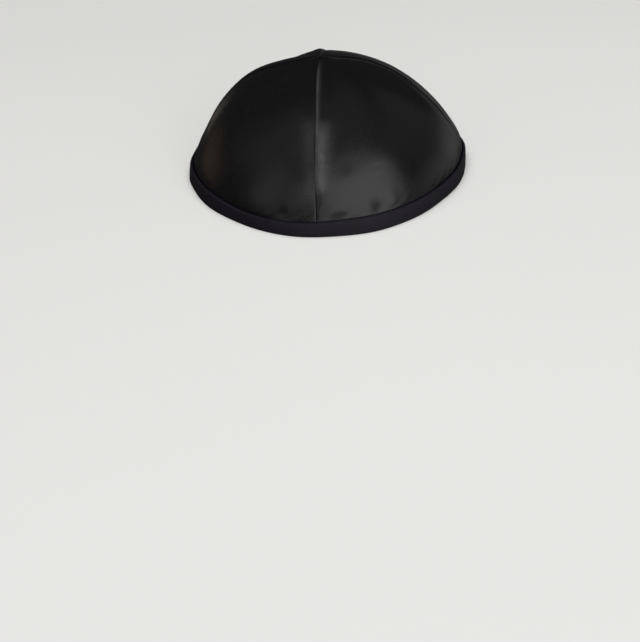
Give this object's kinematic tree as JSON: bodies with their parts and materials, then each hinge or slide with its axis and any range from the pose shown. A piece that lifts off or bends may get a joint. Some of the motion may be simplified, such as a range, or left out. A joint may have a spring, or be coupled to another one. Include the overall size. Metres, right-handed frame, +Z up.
{
  "type": "kippah skullcap",
  "caption": "Round domed leather skullcap sewn from triangular panels meeting at the crown, with a cloth-bound rim.",
  "frame": {"origin": "on the surface that the rim rests on, under the middle of the rim's extents", "axes": "+Z up through the crown, +Y towards the wearer's front, +X towards the wearer's right"},
  "size_m": [0.161, 0.1606, 0.0659],
  "materials": {
    "leather": "smooth black leather with a soft sheen",
    "binding_tape": "matt black cloth tape"
  },
  "bodies": {
    "root": {"panel_back_left": "leather", "panel_back_right": "leather", "panel_front_left": "leather", "panel_front_right": "leather", "rim_binding": "binding_tape"}
  },
  "joints": []
}
